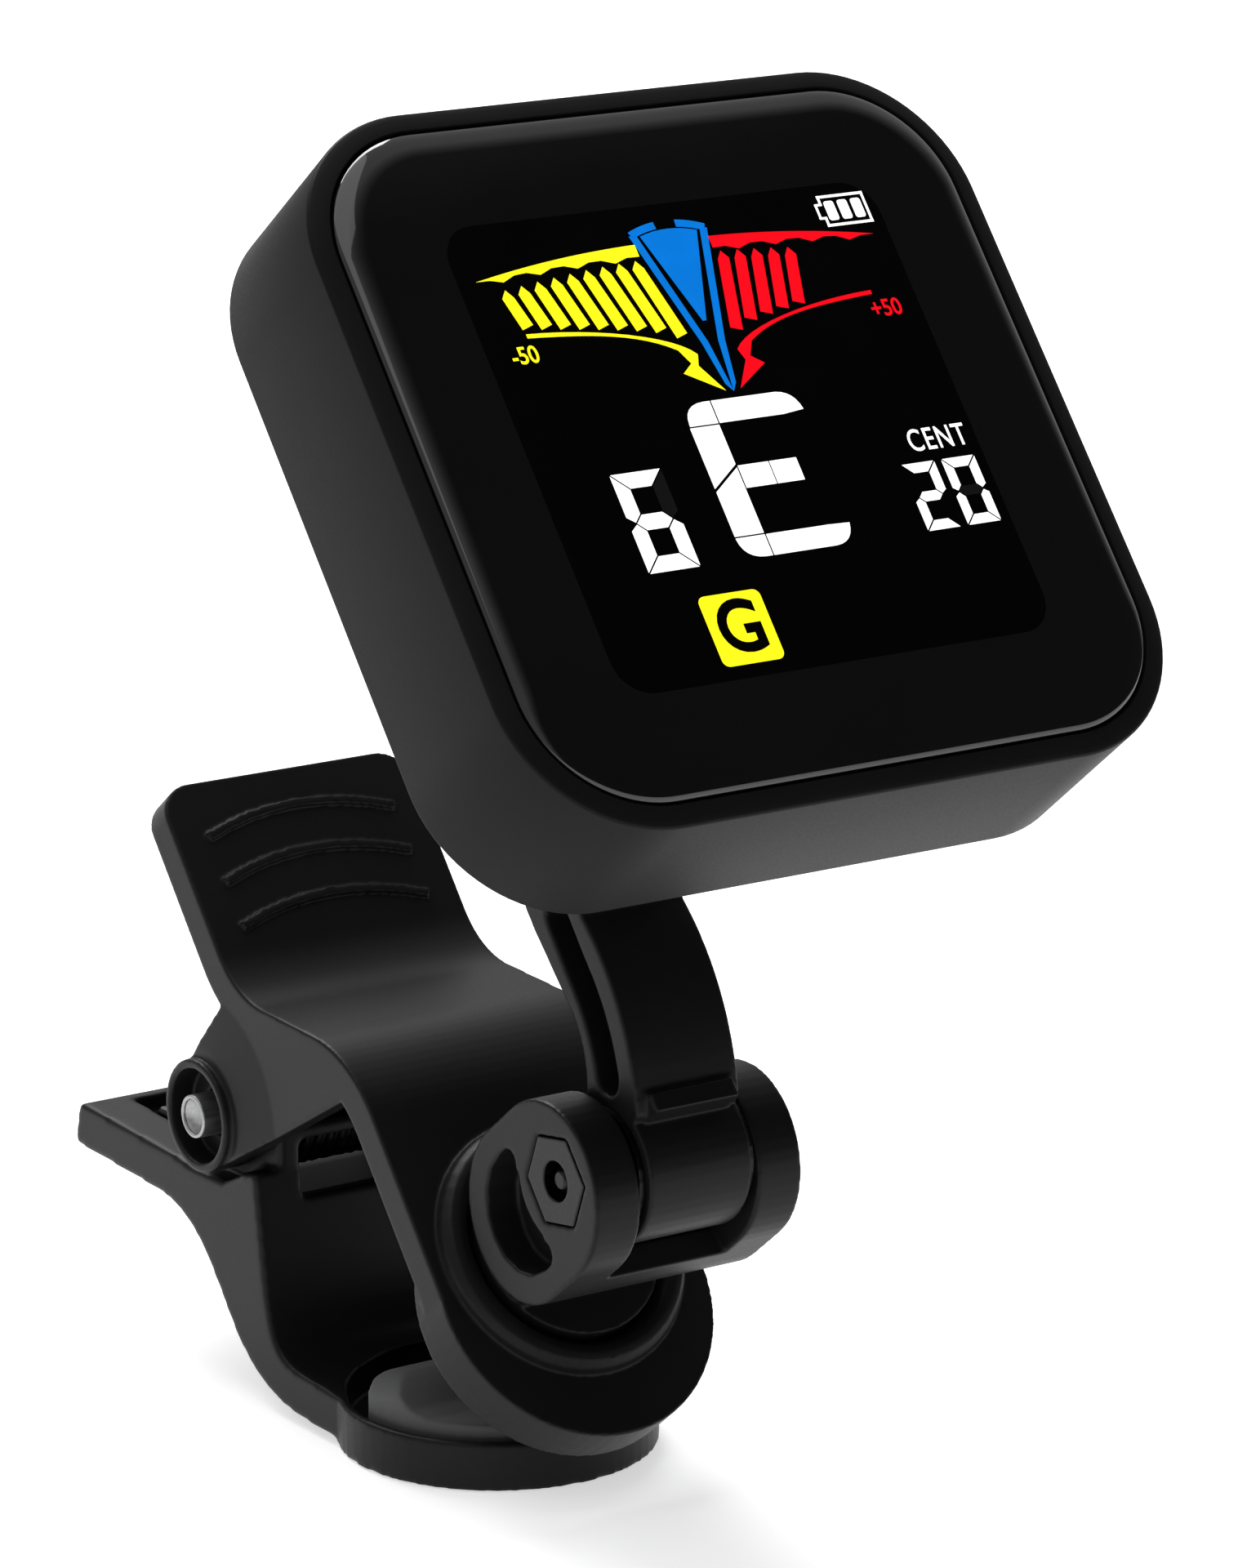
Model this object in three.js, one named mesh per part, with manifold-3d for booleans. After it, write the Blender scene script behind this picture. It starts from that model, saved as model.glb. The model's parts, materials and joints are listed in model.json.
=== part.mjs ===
// Clip-on tuner: a square display head on a tilting arm, a swivel yoke and a spring clip.
// Millimetres, +Z up, the display faces -Y and up. The origin is the centre of the lower jaw's flat underside.

import * as THREE from "three";
import { mergeVertices } from "three/addons/utils/BufferGeometryUtils.js";
import Module from "manifold-3d";

const wasm = await Module();
wasm.setup();

// Head.
const HEAD_WIDTH = 44.6;
const HEAD_HEIGHT = 44.3;
const HEAD_DEPTH = 11;
const HEAD_CORNER = 8.7;
const RIM_ROUND = 0.9;
const WALL = 1.6;
const SEAM_WIDTH = 42;
const SEAM_HEIGHT = 41.5;
const SEAM_CORNER = 7.4;
const LENS_LEDGE = 1.7;
const LENS_BACK = 1.35;
const LENS_PROUD = 0.45;
const LENS_ROLL = 1.8;
const COVER_THICK = 1.3;
const CELL_RADIUS = 10;
const CELL_THICK = 3.2;
const CELL_HEIGHT = 5.2;
const DOOR_RADIUS = 11.2;
const DOOR_THICK = 1.2;
const POST_PLACE = 16.6;
const BOARD_FRONT = 5.1;
const BOARD_THICK = 1;
const BUTTON_DEPTH = 7.5;

// Clip: the height of the lower pad's gripping face above the underside, the pivot measured from the middle
// of that face, and how far the head and the upper jaw lean back from lying flat.
const GRIP_HEIGHT = 3.8;
const PIVOT_Y = 18.2;
const PIVOT_Z = 13.5;
const LEAN = THREE.MathUtils.degToRad(51.33);
const PIN_RADIUS = 1.35;
const PIN_BORE = 1.1;
const PIN_HALF = 10.2;
const PIN_HOLE = 1.5;
const BOSS_RADIUS = 3.53;
const BOSS_HALF = 10;
const BOSS_STEP = 0.55;
const FLARE_REACH = 7.6;
const CUP_RADIUS = 2.95;
const CUP_DEPTH = 1.7;

// Upper jaw, in the leaning frame whose origin is the pivot: y runs up along the plate, z out of its front.
const JAW_HALF = 9;
const PLATE_THICK = 2.4;
const PLATE_FRONT = 17.27;
const HANDLE_FRONT = 7.64;
const HANDLE_TOP = 18.6;
const HANDLE_CORNER = 2.2;
const BEND_START = 7.3;
const BEND_ANGLE = THREE.MathUtils.degToRad(49);
const BEND_RADIUS = 7.6;
const DISC_Y = -21.2;
const DISC_RADIUS = 9.1;
const SKIRT_DEEP = 1;
const SKIRT_INNER = 7.9;
const EAR_INNER = 7.5;
const SWIVEL_Y = -18.33;
const RING_INNER = 6.15;
const RING_OUTER = 8.15;
const RING_HIGH = 1.2;
const RIB_APEX = 16.1;
const RIB_PITCH = 3.07;
const RIB_BEND = 18.85;
const RIB_HALF = 6.75;
const RIB_WIDE = 0.55;
const RIB_PROUD = 0.32;
const COUNTERBORE = 5.4;
const SHAFT_RADIUS = 3.4;

// Yoke and arm, in the same leaning frame.
const BOLT_Z = 30.17;
const BOLT_RADIUS = 1.15;
const BOLT_HOLE = 1.35;
const EAR_OUT = 7.2;
const EAR_IN = 4.1;
const KIDNEY_DEEP = 2.2;
const EAR_ROUND = 5.38;
const EAR_BACK = 20.07;
const EAR_FRONT = 34.07;
const NUT_FLATS = 5;
const NUT_THICK = 2;
const ARM_HALF = 3.6;
const BARREL_RADIUS = 4.4;
const SLOT_DEEP = 2.6;
const FLANGE_THICK = 1.6;

// Lower jaw, measured from the middle of its pad's gripping face.
const BASE_RADIUS = 9.75;
const BASE_BOTTOM = -GRIP_HEIGHT;
const BASE_RIM = -0.8;
const BASE_FLOOR = -2.6;
const BASE_POCKET = 9.1;
const TRAY_HALF = 5.7;
const LUG_OUTER = 7.2;
const LUG_INNER = 5.9;
const SPOOL_RADIUS = 3;
const SPOOL_END = 3.4;
const COIL_RADIUS = 4.1;
const WIRE = 0.85;
const PAD_RADIUS = 8.8;
const PAD_BACK = 0.9;
const PAD_RIDGE = 1.9;
const PAD_END_ROUND = 1.9;

const GAP = 0.1;
const BIG = 80;

const materials = {
  shell: { color: 0x18181a, roughness: 0.5, metalness: 0 },
  gloss: { color: 0x050506, roughness: 0.05, metalness: 0 },
  rubber: { color: 0x4a4a4c, roughness: 0.8, metalness: 0 },
  foam: { color: 0x101010, roughness: 0.9, metalness: 0 },
  glass: { color: 0x20242a, roughness: 0.1, metalness: 0 },
  light: { color: 0xe8e8e0, roughness: 0.6, metalness: 0 },
  board: { color: 0x0e5a34, roughness: 0.6, metalness: 0 },
  steel: { color: 0xb8babd, roughness: 0.3, metalness: 1 },
  blackSteel: { color: 0x1c1c1e, roughness: 0.4, metalness: 1 },
  brass: { color: 0xc9a24a, roughness: 0.35, metalness: 1 },
};

// A closed three.js geometry as a manifold-3d solid.
function solid(geometry) {
  const bare = geometry.clone();
  bare.deleteAttribute("normal");
  bare.deleteAttribute("uv");
  const merged = mergeVertices(bare, 1e-4);
  return new wasm.Manifold(
    new wasm.Mesh({
      numProp: 3,
      vertProperties: new Float32Array(merged.attributes.position.array),
      triVerts: new Uint32Array(merged.index.array),
    }),
  );
}

function meshOf(name, shape, finish) {
  const result = shape.getMesh();
  const geometry = new THREE.BufferGeometry();
  geometry.setAttribute("position", new THREE.BufferAttribute(result.vertProperties, 3));
  geometry.setIndex(new THREE.BufferAttribute(result.triVerts, 1));
  geometry.computeVertexNormals();
  const mesh = new THREE.Mesh(geometry, new THREE.MeshStandardMaterial(materials[finish]));
  mesh.name = name;
  return mesh;
}

function roundedRect(width, height, radius, x = 0, y = 0) {
  const shape = new THREE.Shape();
  const right = x + width / 2 - radius;
  const left = x - width / 2 + radius;
  const top = y + height / 2 - radius;
  const bottom = y - height / 2 + radius;
  shape.absarc(right, top, radius, 0, Math.PI / 2);
  shape.absarc(left, top, radius, Math.PI / 2, Math.PI);
  shape.absarc(left, bottom, radius, Math.PI, 1.5 * Math.PI);
  shape.absarc(right, bottom, radius, 1.5 * Math.PI, 2 * Math.PI);
  shape.closePath();
  return shape;
}

function polygon(points) {
  return new THREE.Shape(points.map(([x, y]) => new THREE.Vector2(x, y)));
}

// A shape drawn in x and y, pushed along z from one level to another.
function slab(shape, low, high, segments = 4) {
  const geometry = new THREE.ExtrudeGeometry(shape, {
    depth: high - low,
    bevelEnabled: false,
    curveSegments: segments,
  });
  return solid(geometry.translate(0, 0, low));
}

const TO_SIDE = new THREE.Matrix4().makeBasis(
  new THREE.Vector3(0, 1, 0),
  new THREE.Vector3(0, 0, 1),
  new THREE.Vector3(1, 0, 0),
);

// A shape drawn in y and z as seen from the side, pushed along x from one side to the other.
function sideSlab(shape, from, to, segments = 4) {
  const geometry = new THREE.ExtrudeGeometry(shape, {
    depth: to - from,
    bevelEnabled: false,
    curveSegments: segments,
  });
  return solid(geometry.translate(0, 0, from).applyMatrix4(TO_SIDE));
}

function block(x0, x1, y0, y1, z0, z1) {
  const geometry = new THREE.BoxGeometry(x1 - x0, y1 - y0, z1 - z0);
  return solid(geometry.translate((x0 + x1) / 2, (y0 + y1) / 2, (z0 + z1) / 2));
}

// A round bar along z.
function post(radius, low, high, x = 0, y = 0, segments = 24) {
  const geometry = new THREE.CylinderGeometry(radius, radius, high - low, segments);
  geometry.rotateX(Math.PI / 2).translate(x, y, (low + high) / 2);
  return solid(geometry);
}

// A round bar along x.
function bar(radius, from, to, y = 0, z = 0, segments = 24) {
  const geometry = new THREE.CylinderGeometry(radius, radius, to - from, segments);
  geometry.rotateZ(-Math.PI / 2).translate((from + to) / 2, y, z);
  return solid(geometry);
}

function joined(pieces) {
  return pieces.reduce((sum, piece) => sum.add(piece));
}

function cutFrom(body, tools) {
  return tools.reduce((rest, tool) => rest.subtract(tool), body);
}

// The same piece on the left and on the right.
function bothSides(make) {
  return [-1, 1].map((side) => make(side));
}

// A bar along x between two distances from the middle, on one side.
function sideBar(side, radius, inner, outer, y = 0, z = 0, segments = 24) {
  const ends = [side * inner, side * outer];
  return bar(radius, Math.min(...ends), Math.max(...ends), y, z, segments);
}

function sidePlate(side, shape, inner, outer, segments = 4) {
  const ends = [side * inner, side * outer];
  return sideSlab(shape, Math.min(...ends), Math.max(...ends), segments);
}

// ---- Head, in its own frame: x right, y up the display, z out of the display, z = 0 at the rim ----

function housing() {
  const outline = roundedRect(
    HEAD_WIDTH - 2 * RIM_ROUND,
    HEAD_HEIGHT - 2 * RIM_ROUND,
    HEAD_CORNER - RIM_ROUND,
  );
  const bevelled = new THREE.ExtrudeGeometry(outline, {
    depth: HEAD_DEPTH,
    bevelSize: RIM_ROUND,
    bevelThickness: RIM_ROUND,
    bevelSegments: 3,
    curveSegments: 5,
  });
  const body = solid(bevelled.translate(0, 0, -HEAD_DEPTH - RIM_ROUND));
  const inside = roundedRect(HEAD_WIDTH - 2 * WALL, HEAD_HEIGHT - 2 * WALL, HEAD_CORNER - WALL);
  const shell = cutFrom(body, [
    block(-BIG, BIG, -BIG, BIG, -BIG, -HEAD_DEPTH),
    slab(roundedRect(SEAM_WIDTH, SEAM_HEIGHT, SEAM_CORNER), -LENS_LEDGE, 1, 5),
    slab(roundedRect(37.6, 37.1, 5.2), -3, 1),
    slab(inside, -BIG, -2.6, 5),
  ]);
  const posts = [];
  for (const x of [-POST_PLACE, POST_PLACE]) {
    for (const y of [-POST_PLACE, POST_PLACE]) {
      posts.push(cutFrom(post(2.2, -HEAD_DEPTH + COVER_THICK + GAP, -2.5, x, y, 16), [
        post(0.75, -BIG, -4, x, y, 12),
      ]));
    }
  }
  const buttonSlot = block(-5.3, 5.3, 18, 25, -BUTTON_DEPTH - 1.6, -BUTTON_DEPTH + 1.6);
  return joined([shell, ...posts]).subtract(buttonSlot);
}

function lens() {
  const outline = roundedRect(
    SEAM_WIDTH - 0.24 - 2 * LENS_ROLL,
    SEAM_HEIGHT - 0.24 - 2 * LENS_ROLL,
    SEAM_CORNER - 0.12 - LENS_ROLL,
  );
  const rolled = new THREE.ExtrudeGeometry(outline, {
    depth: 2,
    bevelSize: LENS_ROLL,
    bevelThickness: LENS_PROUD + 0.1,
    bevelSegments: 4,
    curveSegments: 5,
  });
  const body = solid(rolled.translate(0, 0, -2.1));
  return body.subtract(block(-BIG, BIG, -BIG, BIG, -BIG, -LENS_BACK));
}

function gasket() {
  const outer = slab(roundedRect(41.2, 40.7, 7), -LENS_LEDGE + 0.03, -LENS_BACK - 0.02);
  return outer.subtract(slab(roundedRect(37.4, 36.9, 5), -BIG, 1));
}

function panel(width, height, corner, front, thick) {
  return slab(roundedRect(width, height, corner), -front - thick, -front, 4);
}

function board() {
  const half = 20;
  const cut = half - 10.6;
  const outline = polygon([
    [-half, -cut], [-cut, -half], [cut, -half], [half, -cut],
    [half, cut], [cut, half], [-cut, half], [-half, cut],
  ]);
  return slab(outline, -BOARD_FRONT - BOARD_THICK, -BOARD_FRONT);
}

const COVER_INNER = -HEAD_DEPTH + COVER_THICK;

function rearCover() {
  const outline = roundedRect(
    HEAD_WIDTH - 2 * WALL - 2 * GAP,
    HEAD_HEIGHT - 2 * WALL - 2 * GAP,
    HEAD_CORNER - WALL - GAP,
  );
  const tools = [
    post(DOOR_RADIUS + 0.15, -BIG, 0, 0, CELL_HEIGHT, 40),
    block(-2.2, 2.2, CELL_HEIGHT - 12.5, CELL_HEIGHT + 12.5, -BIG, 0),
  ];
  for (const x of [-POST_PLACE, POST_PLACE]) {
    for (const y of [-POST_PLACE, POST_PLACE]) {
      tools.push(post(0.95, -BIG, 0, x, y, 12));
      tools.push(post(1.7, -BIG, COVER_INNER - 0.6, x, y, 16));
    }
  }
  for (const side of [-1, 1]) tools.push(post(0.95, -BIG, 0, side * 5.6, -12, 16));
  return cutFrom(slab(outline, -HEAD_DEPTH, COVER_INNER, 5), tools);
}

function batteryDoor() {
  const disc = post(DOOR_RADIUS, -HEAD_DEPTH, -HEAD_DEPTH + DOOR_THICK, 0, 0, 40);
  const tabs = bothSides((side) => {
    const shape = new THREE.Shape();
    const middle = side > 0 ? 0 : Math.PI;
    shape.absarc(0, 0, 12.3, middle - 0.17, middle + 0.17);
    shape.absarc(0, 0, 10.3, middle + 0.17, middle - 0.17, true);
    shape.closePath();
    return slab(shape, COVER_INNER + 0.15, COVER_INNER + 0.85);
  });
  const necks = bothSides((side) => post(0.4, -HEAD_DEPTH + 0.5, COVER_INNER + 0.5, side * 10.75, 0, 12));
  const coinSlot = block(-6.5, 6.5, -0.8, 0.8, -BIG, -HEAD_DEPTH + 0.7);
  return joined([disc, ...necks, ...tabs]).subtract(coinSlot).translate([0, CELL_HEIGHT, 0]);
}

const CELL_BACK = -HEAD_DEPTH + DOOR_THICK + 0.12;

function coinCell() {
  const can = post(CELL_RADIUS, CELL_BACK, CELL_BACK + CELL_THICK - 0.6, 0, CELL_HEIGHT, 32);
  const cap = post(CELL_RADIUS - 1.2, CELL_BACK, CELL_BACK + CELL_THICK, 0, CELL_HEIGHT, 32);
  return can.add(cap);
}

// A leaf of spring metal between the board and the cell's negative cap.
function contactNegative() {
  const top = -BOARD_FRONT - BOARD_THICK - 0.03;
  const leaf = block(-6, 6, CELL_HEIGHT - 1.6, CELL_HEIGHT + 1.6, top - 0.2, top);
  return leaf;
}

// A bracket on the board that bears on the cell's rim.
function contactPositive() {
  const top = -BOARD_FRONT - BOARD_THICK - 0.03;
  const foot = block(10.2, 13.8, CELL_HEIGHT - 2, CELL_HEIGHT + 2, top - 0.3, top);
  const wall = block(10.2, 10.6, CELL_HEIGHT - 2, CELL_HEIGHT + 2, top - 2.4, top);
  return foot.add(wall);
}

function powerButton() {
  const cap = block(-4.9, 4.9, 20.5, HEAD_HEIGHT / 2 + 0.6, -BUTTON_DEPTH - 1.3, -BUTTON_DEPTH + 1.3);
  const flange = block(-6, 6, 19.6, 20.4, -BUTTON_DEPTH - 1.9, -BUTTON_DEPTH + 1.3);
  const neck = block(-4.9, 4.9, 20.3, 20.6, -BUTTON_DEPTH - 1.3, -BUTTON_DEPTH + 1.3);
  return joined([cap, flange, neck]);
}

function tactSwitch() {
  const back = -BOARD_FRONT - BOARD_THICK - 0.03;
  const body = block(-3, 3, 15.6, 18.4, back - 2.6, back);
  const plunger = block(-1, 1, 18.2, 19, -BUTTON_DEPTH - 0.7, -BUTTON_DEPTH + 0.7);
  return body.add(plunger);
}

function coverScrew(x, y) {
  const head = post(1.5, -HEAD_DEPTH + 0.02, COVER_INNER - 0.65, x, y, 16);
  const shank = post(0.65, -HEAD_DEPTH + 0.02, -5.5, x, y, 12);
  const recess = block(x - 0.8, x + 0.8, y - 0.15, y + 0.15, -BIG, -HEAD_DEPTH + 0.3);
  const crossRecess = block(x - 0.15, x + 0.15, y - 0.8, y + 0.8, -BIG, -HEAD_DEPTH + 0.3);
  return cutFrom(head.add(shank), [recess, crossRecess]);
}

function neckScrew(x, y) {
  const head = post(1.6, COVER_INNER + 0.03, COVER_INNER + 1, x, y, 16);
  const shank = post(0.75, -HEAD_DEPTH - 4, COVER_INNER + 0.5, x, y, 12);
  return head.add(shank);
}

// ---- Arm, yoke and upper jaw, in the leaning frame ----

const HEAD_Y = 10.97;
const HEAD_Z = 64.27;
const ARM_END = HEAD_Z - HEAD_DEPTH - 0.05;
const ARM_LOW = -4;
const ARM_HIGH = 2;

// The arm from the side: up from the hinge barrel, then forward to the back of the head.
function armShape() {
  const shape = new THREE.Shape();
  shape.moveTo(ARM_LOW, ARM_END);
  shape.lineTo(ARM_LOW, 38.6);
  shape.quadraticCurveTo(ARM_LOW, 37.4, -5.2, 37.4);
  shape.absarc(-8.5, 21.6, 16, 1.36, 2.14);
  shape.lineTo(SWIVEL_Y, BOLT_Z);
  shape.lineTo(SWIVEL_Y + 4.2, BOLT_Z + 0.6);
  shape.quadraticCurveTo(SWIVEL_Y + 6.2, 32.6, -9.6, 32.7);
  shape.lineTo(-4, 32.2);
  shape.quadraticCurveTo(ARM_HIGH, 31.6, ARM_HIGH, 38.2);
  shape.lineTo(ARM_HIGH, ARM_END);
  shape.closePath();
  return shape;
}

// The long recess in each side of the arm.
function slotShape() {
  const shape = new THREE.Shape();
  const bendY = -8.5;
  const bendZ = 21.6;
  const outer = 14.3;
  const inner = 12.2;
  const first = 1.5;
  const last = 2.0;
  const middle = (outer + inner) / 2;
  const round = (outer - inner) / 2;
  shape.absarc(bendY, bendZ, outer, first, last);
  shape.absarc(bendY + middle * Math.cos(last), bendZ + middle * Math.sin(last), round, last, last + Math.PI);
  shape.absarc(bendY, bendZ, inner, last, first, true);
  shape.lineTo(-4.2, bendZ + inner);
  shape.absarc(-4.2, bendZ + middle, round, -Math.PI / 2, Math.PI / 2);
  shape.closePath();
  return shape;
}

function neckArm() {
  const web = sideSlab(armShape(), -ARM_HALF, ARM_HALF, 7);
  const barrel = bar(BARREL_RADIUS, -ARM_HALF, ARM_HALF, SWIVEL_Y, BOLT_Z, 40);
  const flangeShape = roundedRect(16.4, 9.4, 2, 0, -1);
  const flange = slab(flangeShape, ARM_END - FLANGE_THICK, ARM_END);
  const ridge = block(-2.93, 2.93, -17.4, -16.2, 34, 36.15);
  const slots = bothSides((side) => sidePlate(side, slotShape(), ARM_HALF - SLOT_DEEP, ARM_HALF + 1));
  const screwHoles = bothSides((side) => post(0.85, ARM_END - 1.2, BIG, side * 5.6, -12 + HEAD_Y, 16));
  const bossRoom = bothSides((side) => post(1.9, ARM_END - 4.4, ARM_END - 0.1, side * 5.6, -12 + HEAD_Y, 20));
  const deepHoles = bothSides((side) => post(0.85, ARM_END - 4.2, BIG, side * 5.6, -12 + HEAD_Y, 16));
  return cutFrom(joined([web, barrel, flange, ridge, ...bossRoom]), [
    bar(BOLT_HOLE, -9, 9, SWIVEL_Y, BOLT_Z, 24),
    ...slots,
    ...screwHoles,
    ...deepHoles,
  ]);
}

function earShape() {
  const shape = new THREE.Shape();
  shape.absarc(SWIVEL_Y, EAR_FRONT - EAR_ROUND, EAR_ROUND, 0, Math.PI);
  shape.absarc(SWIVEL_Y, EAR_BACK + EAR_ROUND, EAR_ROUND, Math.PI, 2 * Math.PI);
  shape.closePath();
  return shape;
}

// The kidney-shaped recess behind the bolt, on the outside of each ear.
function kidneyShape() {
  const shape = new THREE.Shape();
  const outer = 3.7;
  const outerZ = 25.8;
  const inner = 3.85;
  const horn = 0.75;
  const side = 3;
  shape.absarc(SWIVEL_Y, outerZ, outer, Math.PI, 2 * Math.PI);
  shape.absarc(SWIVEL_Y + side - 0.05, 26.3, horn, 0, 2.4);
  shape.absarc(SWIVEL_Y, BOLT_Z, inner, -1.05, -2.09, true);
  shape.absarc(SWIVEL_Y - side + 0.05, 26.3, horn, 0.74, Math.PI);
  shape.closePath();
  return shape;
}

function hexShape(flats) {
  const shape = new THREE.Shape();
  const reach = flats / Math.sqrt(3);
  for (let corner = 0; corner < 6; corner++) {
    const angle = (corner * Math.PI) / 3;
    const y = SWIVEL_Y + reach * Math.cos(angle);
    const z = BOLT_Z + reach * Math.sin(angle);
    if (corner === 0) shape.moveTo(y, z);
    else shape.lineTo(y, z);
  }
  shape.closePath();
  return shape;
}

const YOKE_TOP = PLATE_FRONT + RING_HIGH;
const SHAFT_END = PLATE_FRONT - PLATE_THICK + 1.05;

function swivelYoke() {
  const ears = sideSlab(earShape(), -EAR_OUT, EAR_OUT, 12);
  const core = block(-5, 5, SWIVEL_Y - 3.3, SWIVEL_Y + 3.3, YOKE_TOP - 0.4, EAR_BACK + 1.6);
  const base = post(RING_INNER - 0.15, PLATE_FRONT + GAP, YOKE_TOP, 0, SWIVEL_Y, 40);
  const shaft = post(SHAFT_RADIUS, SHAFT_END, PLATE_FRONT + 0.5, 0, SWIVEL_Y, 32);
  return cutFrom(joined([ears, core, base, shaft]), [
    block(-EAR_IN, EAR_IN, SWIVEL_Y - 8, SWIVEL_Y + 8, 27, 40),
    bar(BARREL_RADIUS + 0.5, -EAR_IN, EAR_IN, SWIVEL_Y, BOLT_Z, 32),
    bar(BOLT_HOLE, -9, 9, SWIVEL_Y, BOLT_Z, 24),
    sideSlab(hexShape(NUT_FLATS + 0.16), -9, -EAR_OUT + NUT_THICK + 0.1),
    bar(2.45, EAR_OUT - 1.8, 9, SWIVEL_Y, BOLT_Z, 32),
    ...bothSides((side) => sidePlate(side, kidneyShape(), EAR_OUT - KIDNEY_DEEP, EAR_OUT + 1)),
    post(1, -BIG, EAR_BACK, 0, SWIVEL_Y, 20),
  ]);
}

function hingeBolt() {
  const profile = [
    [0, -EAR_OUT + 0.3], [0.5, -EAR_OUT + 0.3], [0.95, -EAR_OUT + 0.9], [BOLT_RADIUS, -EAR_OUT + 2.3],
    [BOLT_RADIUS, EAR_OUT - 1.7], [2.25, EAR_OUT - 1.7], [2.25, EAR_OUT - 0.5],
    [1.7, EAR_OUT - 0.1], [0, EAR_OUT - 0.1],
  ];
  const lathe = new THREE.LatheGeometry(profile.map(([r, x]) => new THREE.Vector2(r, x)), 24);
  const body = solid(lathe.rotateZ(-Math.PI / 2).translate(0, SWIVEL_Y, BOLT_Z));
  const drive = block(EAR_OUT - 0.8, 9, SWIVEL_Y - 1.2, SWIVEL_Y + 1.2, BOLT_Z - 0.25, BOLT_Z + 0.25);
  const driveAcross = block(EAR_OUT - 0.8, 9, SWIVEL_Y - 0.25, SWIVEL_Y + 0.25, BOLT_Z - 1.2, BOLT_Z + 1.2);
  return cutFrom(body, [drive, driveAcross]);
}

function hexNut() {
  const nut = sideSlab(hexShape(NUT_FLATS), -EAR_OUT + 0.02, -EAR_OUT + NUT_THICK);
  return nut.subtract(bar(1.2, -9, 9, SWIVEL_Y, BOLT_Z, 24));
}

function frictionWasher(side) {
  const ring = sideBar(side, 3.9, ARM_HALF + 0.1, EAR_IN - 0.1, SWIVEL_Y, BOLT_Z, 32);
  return ring.subtract(bar(BOLT_HOLE, -9, 9, SWIVEL_Y, BOLT_Z, 24));
}

// The plate from the side: the handle, the double bend and the flat that ends in the disc.
function jawProfile() {
  const shape = new THREE.Shape();
  const inner = BEND_RADIUS - PLATE_THICK / 2;
  const outer = BEND_RADIUS + PLATE_THICK / 2;
  const rise = PLATE_FRONT - HANDLE_FRONT - (inner + outer) * (1 - Math.cos(BEND_ANGLE));
  const straight = rise / Math.sin(BEND_ANGLE);
  const bendEnd = BEND_START - (inner + outer) * Math.sin(BEND_ANGLE) - straight * Math.cos(BEND_ANGLE);
  const end = DISC_Y - DISC_RADIUS;
  const down = -Math.PI / 2;
  const up = Math.PI / 2;
  const front = HANDLE_FRONT + inner;
  const back = PLATE_FRONT - outer;
  shape.absarc(BEND_START, front, inner, down, down - BEND_ANGLE, true);
  shape.absarc(bendEnd, back, outer, up - BEND_ANGLE, up);
  shape.lineTo(end, PLATE_FRONT);
  shape.lineTo(end, PLATE_FRONT - PLATE_THICK);
  shape.absarc(bendEnd, back, outer - PLATE_THICK, up, up - BEND_ANGLE, true);
  shape.absarc(BEND_START, front, inner + PLATE_THICK, down - BEND_ANGLE, down);
  shape.lineTo(HANDLE_TOP, HANDLE_FRONT - PLATE_THICK);
  shape.lineTo(HANDLE_TOP, HANDLE_FRONT);
  shape.closePath();
  return shape;
}

// The plate seen from its front.
function jawOutline() {
  const shape = new THREE.Shape();
  const corner = JAW_HALF - HANDLE_CORNER;
  const meet = Math.acos(JAW_HALF / DISC_RADIUS);
  shape.absarc(corner, HANDLE_TOP - HANDLE_CORNER, HANDLE_CORNER, 0, Math.PI / 2);
  shape.absarc(-corner, HANDLE_TOP - HANDLE_CORNER, HANDLE_CORNER, Math.PI / 2, Math.PI);
  shape.absarc(0, DISC_Y, DISC_RADIUS, Math.PI - meet, 2 * Math.PI + meet);
  shape.closePath();
  return shape;
}

// The web that joins the plate to the pivot boss.
function webShape() {
  const shape = new THREE.Shape();
  shape.moveTo(4.8, 6.2);
  shape.lineTo(3.4, 0.9);
  shape.absarc(0, 0, BOSS_RADIUS, 0.26, -2.8, true);
  shape.lineTo(-6.1, 15.8);
  shape.lineTo(-4, 14.6);
  shape.lineTo(4, 7.2);
  shape.closePath();
  return shape;
}

// The ears stand flush with the plate's sides and flare out in a cone as they near the boss.
function flaredWebs() {
  const top = BOSS_HALF - BOSS_STEP;
  const profile = [[0, 0], [30, 0], [30, JAW_HALF], [FLARE_REACH, JAW_HALF], [4.2, top], [0, top]];
  const lathe = new THREE.LatheGeometry(profile.map(([r, x]) => new THREE.Vector2(r, x)), 72);
  const flare = solid(lathe.rotateZ(-Math.PI / 2));
  return bothSides((side) => {
    const web = sidePlate(side, webShape(), EAR_INNER, BOSS_HALF, 7);
    return web.intersect(side > 0 ? flare : flare.mirror([1, 0, 0]));
  });
}

function ribShape(apex) {
  const shape = new THREE.Shape();
  const reach = Math.asin(RIB_HALF / RIB_BEND);
  const middle = Math.PI / 2;
  const outer = RIB_BEND + RIB_WIDE / 2;
  const inner = RIB_BEND - RIB_WIDE / 2;
  shape.absarc(0, apex - RIB_BEND, outer, middle - reach, middle + reach);
  shape.absarc(0, apex - RIB_BEND, inner, middle + reach, middle - reach, true);
  shape.closePath();
  return shape;
}

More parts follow.
